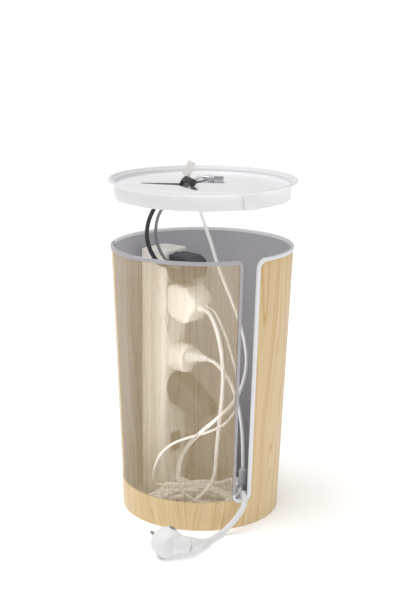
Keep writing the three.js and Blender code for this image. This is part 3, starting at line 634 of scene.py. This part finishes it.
def eased(path, passes=6):
    """Small kinks between the points smoothed away, with the ends kept."""
    path = np.array(path)
    for _ in range(passes):
        path[1:-1] = 0.5 * path[1:-1] + 0.25 * (path[:-2] + path[2:])
    return path


HANDED_ON = 3          # the last points of the charger's route begin its coil


def coiled_leads():
    """The mains lead's turns on the floor of the tower, and the charger lead's on top of them."""
    mains_turns = oval_turns((0.003, -0.038), (60, 36.5), 90, 1556,
                             [(-3, 11), (4, 10.5), (-1, 17), (4, 18), (-2, 24), (0, 26)], 1.4)
    mains = even(curve_through(MAINS_IN + mains_turns[1:] + MAINS_OUT[:1], 0.002), SPACING)
    charger_turns = oval_turns((-0.012, -0.036), (57.5, 35), 245, 952,
                               [(1, 33), (-2, 34), (3, 38), (0.5, 41)], 1.2)
    lead_on = [(0.0000, -0.0570, 0.0330), (-0.0150, -0.0655, 0.0330)]
    to_end = [(0.0460, -0.0290, 0.0419)]
    charger_points = CHARGER_ROUTE[-HANDED_ON:] + lead_on + charger_turns + to_end
    charger = even(curve_through(charger_points, 0.002), SPACING)
    chains = []
    for points, diameter, held_first, held_last in ((mains, MAINS_D, 2, 2), (charger, CHARGER_D, 9, 3)):
        free = np.ones(len(points), bool)
        free[:held_first] = False
        free[-held_last:] = False
        chains.append({"points": points, "diameter": diameter, "free": free})
    return [eased(c) for c in settled(chains)]


def cord(name, path, diameter, look, replaces, body="root",
         joint=None):
    """A lead: a tube along its path, put on body unless joint is given. joint is (body, body, start, end);
    when it is given the tube gets no body and its place is baked into its mesh, and its bodies and points are
    not read.
    """
    path = [Vector(p) for p in path]
    obj = piece(name, tube(path, diameter / 2), look, None if joint else body, replaces, 60)
    if joint:
        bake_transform(obj)


mains_coil, charger_coil = coiled_leads()
mains_path = even(curve_through([*mains_coil, *MAINS_OUT[1:]], 0.002), 0.003)
charger_path = even(curve_through([*CHARGER_ROUTE[:-HANDED_ON], *charger_coil], 0.002), 0.003)


# ---- The tower wall ----
TOWER_H, R_FLOOR, R_RIM = 350, 102.2, 116.2
BAND_H = 38
SKIN, GAP, LINER = 1.5, 0.3, 0.8
SLOT_ANGLE = math.radians(31.5)
SLOT_LOW, SLOT_TOP = 9.2, 10.2
FOOT_R, MOUTH_LEFT, MOUTH_RIGHT = 6, 8, 13
WINDOW_END = math.radians(-95)
TRIM_WEB, TRIM_LAP, TRIM_PROUD = 1.5, 4.4, 0.8


def wall_r(z):
    return R_FLOOR + (R_RIM - R_FLOOR) * z / TOWER_H


def wall_ring(inner, outer, z0, z1):
    return revolved([(wall_r(z0) + inner, z0), (wall_r(z0) + outer, z0),
                     (wall_r(z1) + outer, z1), (wall_r(z1) + inner, z1)])


def arc(cx, cz, r, start, end, steps=10):
    turns = [math.radians(start + (end - start) * k / steps) for k in range(steps + 1)]
    return [(cx + r * math.cos(t), cz + r * math.sin(t)) for t in turns]


def slot_space(grow, foot, rim, near=50, far=140):
    """The slot's opening as a solid that points out of the tower, grown all round."""
    low, top = SLOT_LOW + grow, SLOT_TOP + grow
    outline = (
        arc(SLOT_LOW - FOOT_R, foot + FOOT_R, FOOT_R + grow, -90, 0)
        + arc(top - grow + MOUTH_RIGHT, rim - MOUTH_RIGHT, MOUTH_RIGHT - grow, 180, 90)
        + [(top - grow + MOUTH_RIGHT, rim + 12), (-top + grow - MOUTH_LEFT, rim + 12)]
        + arc(-top + grow - MOUTH_LEFT, rim - MOUTH_LEFT, MOUTH_LEFT - grow, 90, 0)
        + arc(-SLOT_LOW + FOOT_R, foot + FOOT_R, FOOT_R + grow, 180, 270)
    )
    c, s = math.cos(SLOT_ANGLE), math.sin(SLOT_ANGLE)
    return prism(outline, lambda u, v, d: (u * c + d * s, u * s - d * c, v), near, far)


def wedge(start, end, z0, z1):
    """A wedge of the plan between two directions."""
    steps = 12
    angles = [start + (end - start) * k / steps for k in range(steps + 1)]
    outline = [(0, 0)] + [(170 * math.sin(a), -170 * math.cos(a)) for a in angles]
    return prism(outline, lambda u, v, d: (u, v, d), z0, z1)


def make_wall():
    top = TOWER_H - TRIM_WEB - GAP
    inside = -SKIN - GAP - LINER
    over = TOWER_H + 5
    for name, node, look, inner, outer, z0 in (
        ("wood_shell", "outer_shell", "wood_skin", -SKIN, 0, 0),
        ("grey_lining", "inner_liner", "liner", inside, -SKIN - GAP, 2),
    ):
        slot = slot_space(TRIM_WEB + GAP, BAND_H, TOWER_H)
        ring = combined(wall_ring(inner, outer, z0, top), slot, "DIFFERENCE")
        ring = combined(ring, wedge(WINDOW_END, SLOT_ANGLE, BAND_H, over), "DIFFERENCE")
        piece(name, ring, look, "root", [node], 30, 0.0003 if z0 == 0 else 0)
    slot = slot_space(TRIM_WEB + GAP, BAND_H, TOWER_H)
    pane = combined(wall_ring(inside, 0, BAND_H + GAP, top), slot, "DIFFERENCE")
    pane = combined(pane, wedge(WINDOW_END + 0.003, SLOT_ANGLE, BAND_H, over), "INTERSECT")
    wall = piece("see_through_wall", pane, "window", "root", ["window_panel"], 30)
    wall.data.materials.append(LOOKS["clear"])
    for face in wall.data.polygons:
        out = Vector((face.center.x, face.center.y, 0)).normalized()
        face.material_index = 0 if face.normal.dot(out) > 0.5 else 1
    remade("base_plate", "base_grey", 0.0006)


# ---- The trim: a rounded channel pushed over the wall's edge ----
def trim_path(side, mouth_r, rim_end):
    """(angle, height) along the edge from the middle of the slot's foot, up one side and round the rim."""
    across = [(0, BAND_H)] + arc(SLOT_LOW - FOOT_R, BAND_H + FOOT_R, FOOT_R, -90, 0)
    rise = TOWER_H - mouth_r - BAND_H - FOOT_R
    across += [
        (SLOT_LOW + (SLOT_TOP - SLOT_LOW) * k / 40, BAND_H + FOOT_R + rise * k / 40) for k in range(1, 40)
    ]
    across += arc(SLOT_TOP + mouth_r, TOWER_H - mouth_r, mouth_r, 180, 90, 14)
    path = [(SLOT_ANGLE + side * math.asin(w / wall_r(z)), z) for w, z in across]
    start = path[-1][0]
    steps = int(abs(rim_end - start) / math.radians(2))
    return path + [(start + (rim_end - start) * k / steps, TOWER_H) for k in range(1, steps + 1)]


def make_trim():
    half = (SKIN + GAP + LINER) / 2
    outer = half + TRIM_PROUD
    slot_in = half + GAP / 2
    web, lap, chamfer, crown = TRIM_WEB + 0.15, TRIM_LAP, 0.3, 1.5
    turns = np.linspace(0, math.pi / 2, 6)
    channel = (
        [(-outer, lap - chamfer), (-outer + chamfer, lap), (-slot_in, lap), (-slot_in, web)]
        + [(slot_in, web), (slot_in, lap), (outer - chamfer, lap), (outer, lap - chamfer)]
        + [(outer - crown + crown * math.cos(t), crown - crown * math.sin(t)) for t in turns]
        + [(-outer + crown - crown * math.sin(t), crown - crown * math.cos(t)) for t in turns]
    )
    left = trim_path(-1, MOUTH_LEFT, WINDOW_END)
    right = trim_path(1, MOUTH_RIGHT, WINDOW_END + 2 * math.pi)
    foot_side = [p for p in left[:12] if p[1] <= BAND_H + 8] + [(left[12][0], BAND_H + 8)]
    upper = [(left[12][0], BAND_H + 8.3)] + [p for p in left if p[1] > BAND_H + 9]
    runs = (
        ("edge_bead", "trim_white", "edge_trim", foot_side[:0:-1] + right),
        ("window_bead", "trim_frosted", "window_trim", upper[::-1]),
    )
    for name, look, node, run in runs:
        places, outwards = [], []
        for angle, z in run:
            r = wall_r(z) - half
            places.append(Vector((r * math.sin(angle), -r * math.cos(angle), z)))
            outwards.append(Vector((math.sin(angle), -math.cos(angle), 0)))

        def section(i, places=places, outwards=outwards):
            along = (places[min(i + 1, len(places) - 1)] - places[max(i - 1, 0)]).normalized()
            into = along.cross(outwards[i]).normalized()
            out = into.cross(along)
            return [(places[i] + out * p + into * q) * MM for p, q in channel]

        piece(name, swept(places, section), look, "root", [node], 40)


# ---- The lid ----
LID_Z = 431
LID_R, SKIRT_H, TRAY_TOP, TRAY_T = 120, 21, -6.5, 1.8
SKIRT_IN = 3.9         # the skirt is this far inside the wall's outer face
SKIRT_TOP_R, SKIRT_FOOT_R = R_RIM - SKIRT_IN, wall_r(TOWER_H - SKIRT_H) - SKIRT_IN
HUB = (-25, 5)
HUB_R, ARM_ROOT, ARM_TIP = 10, 10, 3
ARMS = ((172, 55), (52, 52), (-68, 50))   # direction in degrees, and reach
COLLAR_DEPTH, COLLAR_WALL = 6.7, 1.2
LUG_ANGLES = (-12, 31.5, 150, 258)


def star_spaces(grow, z0, z1):
    """Three tapered arms and a round hub, as separate solids, grown all round."""
    made = [prism(arc(*HUB, HUB_R + grow, 0, 345, 23), lambda u, v, d: (u, v, d), z0, z1)]
    for angle, reach in ARMS:
        turn = math.radians(angle)
        root, tip = ARM_ROOT + grow, ARM_TIP + grow
        outline = [(-2, -root)] + arc(reach - ARM_TIP, 0, tip, -90, 90) + [(-2, root)]
        place = lambda u, v, d, c=math.cos(turn), s=math.sin(turn): (
            HUB[0] + u * c - v * s, HUB[1] + u * s + v * c, d)
        made.append(prism(outline, place, z0, z1))
    return made


def make_lid():
    z = LID_Z
    outline = [
        (0, TRAY_TOP - TRAY_T), (SKIRT_TOP_R - 2.4, TRAY_TOP - TRAY_T), (SKIRT_FOOT_R - 2, -SKIRT_H),
        (SKIRT_FOOT_R, -SKIRT_H), (SKIRT_TOP_R, 0), (LID_R, 0), (LID_R, 3), (LID_R - 4.5, 3),
        (LID_R - 8.6, TRAY_TOP + 1), (LID_R - 11, TRAY_TOP), (0, TRAY_TOP),
    ]
    radii = [0, 1.5, 0.7, 0.7, 1.6, 1.2, 1.2, 2.5, 4, 3, 0]
    lid = revolved([(r, h + z) for r, h in rounded(outline, radii)])
    for space in star_spaces(0, z + TRAY_TOP - 8, z + TRAY_TOP + 8):
        lid = combined(lid, space, "DIFFERENCE")
    piece("tray_lid", lid, "lid_white", "lid", ["lid_tray"], 30)

    plate = revolved([(SKIRT_FOOT_R - 1.6, z - SKIRT_H), (wall_r(TOWER_H - SKIRT_H) + 0.2, z - SKIRT_H),
                      (R_RIM + 0.2, z + 0.5), (SKIRT_TOP_R - 1.2, z + 0.5)])
    key = combined(plate, slot_space(-GAP - 0.2, z - 60, z), "INTERSECT")
    piece("lid_key", key, "lid_white", "lid", sharp=30, bevel=0.0008, segments=3)

    for i, a in enumerate(LUG_ANGLES):
        t = math.radians(a)
        x, y = (SKIRT_FOOT_R - 1) * math.sin(t), -(SKIRT_FOOT_R - 1) * math.cos(t)
        lug = spindle((x, y, z - SKIRT_H - 0.9), (x, y, z), [(0, 0.4), (0.15, 0.75), (0.4, 0.9), (1.9, 0.9)])
        piece(f"lid_lug_{i + 1}", lug, "lid_white", "lid", sharp=50)

    walls = None
    low, high = z + TRAY_TOP - COLLAR_DEPTH, z + TRAY_TOP + 0.2
    for outer in star_spaces(-GAP, low, high):
        walls = outer if walls is None else combined(walls, outer, "UNION")
    for inner in star_spaces(-GAP - COLLAR_WALL, low - 2, high + 2):
        walls = combined(walls, inner, "DIFFERENCE")
    # The collar takes the grey look that paints the shade inside the star hole.
    piece("star_collar", walls, "collar_grey", "lid", ["cable_collar"], 30, 0.0002)


# ---- The strip and its sockets ----
STRIP_TURN = math.radians(53.13)
STRIP_AT = Vector((-35, 25, 0))
SOCKET_Z = [152.5 + 40.5 * i for i in range(5)]
SWITCH_Z, INLET_Z = 73, 19
LIP_PROFILE = [(0, 19.0), (0, 20.4), (0.5, 20.4), (0.9, 20.0), (0.9, 19.4), (0.5, 19.0)]


def on_strip(x, y, z):
    """A place in the strip's frame: x across its face, -y out of it, z up."""
    c, s = math.cos(STRIP_TURN), math.sin(STRIP_TURN)
    return (STRIP_AT.x + x * c - y * s, STRIP_AT.y + x * s + y * c, z)


def strip_spindle(start, end, profile, sides=32):
    return spindle(on_strip(*start), on_strip(*end), profile, sides)


def make_strip():
    remade("strip_cover", "strip_white", 0.0005, 30, segments=3)
    remade("strip_base", "strip_white", 0.0005, 30, segments=3)
    for i, z in enumerate(SOCKET_Z):
        remade(f"socket_well_{i + 1}", "well_white", 0.0001, 40)
        remade(f"earth_clip_{i + 1}", "steel", 0.0002)
        lip = strip_spindle((0, 0.25, z), (0, -2, z), LIP_PROFILE)
        piece(f"socket_lip_{i + 1}", lip, "strip_white", "root", sharp=50)
    for node in ("neutral_bar", "live_bar", "earth_bar"):
        remade(node, "brass", 0.0002)
    remade("switch_frame", "black_plastic", 0.0004)
    remade("rocker_switch", "black_plastic", 0.0005, segments=3)
    dot_z = SWITCH_Z + 5.5
    mark = strip_spindle((0, 0.9, dot_z), (0, -1, dot_z), [(0, 1.9), (0.6, 1.9), (0.75, 1.7)], 24)
    piece("rocker_dot", mark, "strip_white", "rocker", sharp=50)
    for i in (1, 2):
        remade(f"cover_screw_{i}", "steel", 0.0002, 45)
    ribs = [(0, 6.6), (7, 6.6), (7.2, 6.2)]
    for k in range(6):
        y = 8.5 + 3.2 * k
        r = 6.0 - 0.28 * k
        ribs += [(y, r), (y + 0.2, r - 0.8), (y + 1.2, r - 0.9), (y + 1.5, r - 0.2)]
    ribs += [(28, 4.4), (29, 4.0)]
    relief = strip_spindle((0, 5, INLET_Z), (0, -24, INLET_Z), ribs)
    piece("strip_relief", relief, "lead_white", "root", ["strip_strain_relief"], 40)


# ---- Plugs and chargers ----
def make_plugs():
    moulded("top_plug", "black_plastic")
    moulded("cube_charger", "charger_white", 0.0009, 12)
    moulded("round_adapter", "charger_white", 0.0008, 4)
    moulded("small_plug", "lead_white", 0.0007, 6)
    moulded("black_plug", "black_plastic", 0.0009, 12)
    for plug in ("top_plug", "cube_charger", "round_adapter", "small_plug", "black_plug"):
        remade(plug + "_pins", "pin_metal", 0.0002, 55)


MAINS_PLUG_AT, MAINS_PLUG_TURN = (-40, -172, 18.6), math.radians(30)
PIN_LEAN, PIN_HALF, EARTH_R = math.radians(-30), 9.5, 17.3
PIN_PROFILE = [(0, 2.52), (9, 2.52), (9.3, 2.4), (17.6, 2.42), (18.8, 2.1), (19.4, 1.2), (19.45, 0.1)]
EARTH_PROFILE = [(0, 2.0), (0.3, 2.4), (10.6, 2.4), (11, 2.0)]


def on_plug(x, y, z):
    c, s = math.cos(MAINS_PLUG_TURN), math.sin(MAINS_PLUG_TURN)
    return (MAINS_PLUG_AT[0] + x * c - y * s, MAINS_PLUG_AT[1] + x * s + y * c, MAINS_PLUG_AT[2] + z)


def make_mains_plug():
    plug = moulded("mains_plug", "lead_white", 0.0006, 5)
    carrier = remade("mains_plug_pins", "pin_metal", 0.0002, 55)
    made = [plug, carrier]
    for i, side in enumerate((0, math.pi)):
        pin_turn, clip_turn = PIN_LEAN + side, PIN_LEAN + side + math.pi / 2
        x, z = PIN_HALF * math.cos(pin_turn), PIN_HALF * math.sin(pin_turn)
        pin = spindle(on_plug(x, -0.5, z), on_plug(x, 10, z), PIN_PROFILE)
        made.append(piece(f"mains_pin_{i + 1}", pin, "pin_metal", "root", sharp=50))
        x, z = EARTH_R * math.cos(clip_turn), EARTH_R * math.sin(clip_turn)
        clip = spindle(on_plug(x, -12, z), on_plug(x, -1, z), EARTH_PROFILE, 24)
        made.append(piece(f"mains_earth_{i + 1}", clip, "steel", "root", sharp=50))
    points = [(40.4, -10.9, -9.1), (45.1, -9.6, -10.3), (52.1, -6.5, -11.8), (58.5, -2.6, -13)]
    path = even(curve_through([Vector(on_plug(*p)) * MM for p in points], 0.0005), 0.0004)
    whole = length_of(path)

    def ribbed(gone):
        taper = 6.5 - 2.2 * gone / whole
        return (taper if (gone / MM) % 3.4 < 2.2 or gone < 0.004 else taper - 1.1) * MM

    boot = piece("mains_plug_boot", tube(path, ribbed, 28), "lead_white", "root", ["mains_plug_relief"], 40)
    made.append(boot)
    return made


# ---- Connectors ----
def make_connectors():
    made = {}
    made["charger"] = [remade("charger_connector", "charger_white", 0.0009, 40, segments=3)]
    made["thin"] = [remade("thin_connector", "charger_white", 0.0009, 40, segments=3)]
    made["tray"] = [remade("tray_connector", "connector_metal", 0.0003, 40)]
    made["black_tray"] = [remade("black_tray_connector", "black_plastic", 0.0003, 50)]
    made["flat_tray"] = [remade("flat_tray_connector", "charger_white", 0.0006, 40, segments=3)]
    made["black"] = [remade("black_connector", "black_plastic", 0.0003, 50)]
    points = [(55.8, -60.5, 70), (55.6, -62, 60), (54.8, -64, 50), (53.8, -65.5, 45)]
    path = even(curve_through([Vector(p) * MM for p in points], 0.0005), 0.0004)

    def ribbed(gone):
        d = gone / MM
        if d < 4:
            return (3.4 + 0.5 * d) * MM
        if d < 19:
            return (6.0 if d % 2.5 < 1.6 else 5.3) * MM
        return max(2.9, 5.4 - 0.5 * (d - 19)) * MM

    inline = piece("inline_joint", tube(path, ribbed, 28), "connector_grey", "root", ["inline_connector"], 40)
    made["inline"] = [inline]
    return made


def make_leads(ends):
    thin, adapter, black = (curve_through(r) for r in (THIN_ROUTE, ADAPTER_ROUTE, BLACK_ROUTE))
    rising = (TRAY_ROUTE, BLACK_RISER_ROUTE, GREY_RISER_ROUTE)
    tray, black_riser, grey_riser = (curve_through(r) for r in rising)
    risers = ("root", "lid", (-0.05, 0, 0.322), (-0.05, 0, 0.424))
    cord("mains_cord", mains_path, MAINS_D, "lead_white", ["mains_coil", "mains_lead_in", "mains_lead_out"])
    cord("charger_cord", charger_path, CHARGER_D, "lead_white", ["charger_lead", "charger_coil"],
         joint=("cube", "root", CHARGER_ROUTE[0], (0.028, -0.046, 0.175)))
    cord("thin_cord", thin, THIN_D, "lead_white", ["thin_lead"],
         joint=("cube", "root", THIN_ROUTE[0], (0.048, -0.032, 0.17)))
    cord("adapter_cord", adapter, ADAPTER_D, "lead_white", ["adapter_lead"],
         joint=("adapter", "root", ADAPTER_ROUTE[0], (0.053, -0.054, 0.126)))
    cord("black_cord", black, BLACK_D, "lead_black", ["black_lead"],
         joint=("black", "root", BLACK_ROUTE[0], (-0.01, -0.016, 0.058)))
    cord("tray_cord", tray, TRAY_D, "lead_white", ["tray_lead"],
         joint=("root", "lid", (0.03, -0.02, 0.26), (0.03, -0.02, 0.422)))
    cord("black_riser_cord", black_riser, BLACK_RISER_D, "lead_black", ["black_riser"],
         joint=risers)
    cord("grey_riser_cord", grey_riser, GREY_RISER_D, "lead_grey", ["grey_riser"],
         joint=risers)


# ---- Studio: a white floor that runs to the horizon, a broad sun, and soft lamps ----
FLOOR_SIDE, FLOOR_FRONT, FLOOR_BACK = 30, -4, 95
SKY_STRENGTH, FLOOR_GLOW = 0.4, 0.25
SUN_STRENGTH, SUN_SPREAD, SUN_ALONG = 2.1, 50, (0.27, 0.08, -1)
LAMPS = (              # name, place, width, power
    ("front", (-0.7, -1.6, 0.7), 1.2, 0.1),
    ("right", (1.3, -1.3, 0.8), 1.2, 3.4),
    ("inside", (0, 0, 0.405), 0.17, 0.045),
)
LAMPS_AIM = (0, 0, 0.2)
PANEL_LAMP_AT, PANEL_LAMP_ALONG = (-0.018, -0.066, 0.195), (0.25, 1, -0.15)
PANEL_LAMP_SIZE, PANEL_LAMP_POWER = (0.095, 0.25), 0.1


def lamp(name, kind, power, place, along):
    made = bpy.data.objects.new(name, bpy.data.lights.new(name, kind))
    made.data.energy = power
    made.location = place
    made.rotation_euler = Vector(along).to_track_quat("-Z", "Y").to_euler()
    scene.collection.objects.link(made)
    return made


def make_studio():
    side, front, back = FLOOR_SIDE, FLOOR_FRONT, FLOOR_BACK
    corners = [(-side, front, 0), (side, front, 0), (side, back, 0), (-side, back, 0)]
    floor_mesh = bpy.data.meshes.new("studio_floor")
    floor_mesh.from_pydata(corners, [], [(0, 1, 2, 3)])
    floor = bpy.data.objects.new("studio_floor", floor_mesh)
    scene.collection.objects.link(floor)
    paper = Material("studio_paper", 0.9)
    grain = paper.noise(40, 3)
    paper.link(paper.ramp(grain, [(0.3, (0.88, 0.88, 0.88, 1)), (0.7, (0.9, 0.9, 0.9, 1))]), "Base Color")
    paper.shader.inputs["Emission Color"].default_value = (1, 1, 1, 1)
    paper.shader.inputs["Emission Strength"].default_value = FLOOR_GLOW
    floor_mesh.materials.append(paper.made)

    world = bpy.data.worlds.new("studio")
    scene.world = world
    world.use_nodes = True
    sky = world.node_tree.nodes["Background"]
    sky.inputs["Color"].default_value = (1, 1, 1, 1)
    sky.inputs["Strength"].default_value = SKY_STRENGTH

    sun = lamp("key", "SUN", SUN_STRENGTH, (0, 0, 0), SUN_ALONG)
    sun.data.angle = math.radians(SUN_SPREAD)
    for name, place, width, power in LAMPS:
        area = lamp(name, "AREA", power, place, Vector(LAMPS_AIM) - Vector(place))
        area.data.size = width
        area.visible_camera = False
    panel_lamp = lamp("through_panel", "AREA", PANEL_LAMP_POWER, PANEL_LAMP_AT, PANEL_LAMP_ALONG)
    panel_lamp.data.shape = "RECTANGLE"
    panel_lamp.data.size, panel_lamp.data.size_y = PANEL_LAMP_SIZE
    panel_lamp.visible_camera = False
    scene.view_settings.view_transform = "Standard"


make_wall()
make_trim()
make_lid()
make_strip()
make_plugs()
mains_pieces = make_mains_plug()
make_leads(make_connectors())
make_studio()
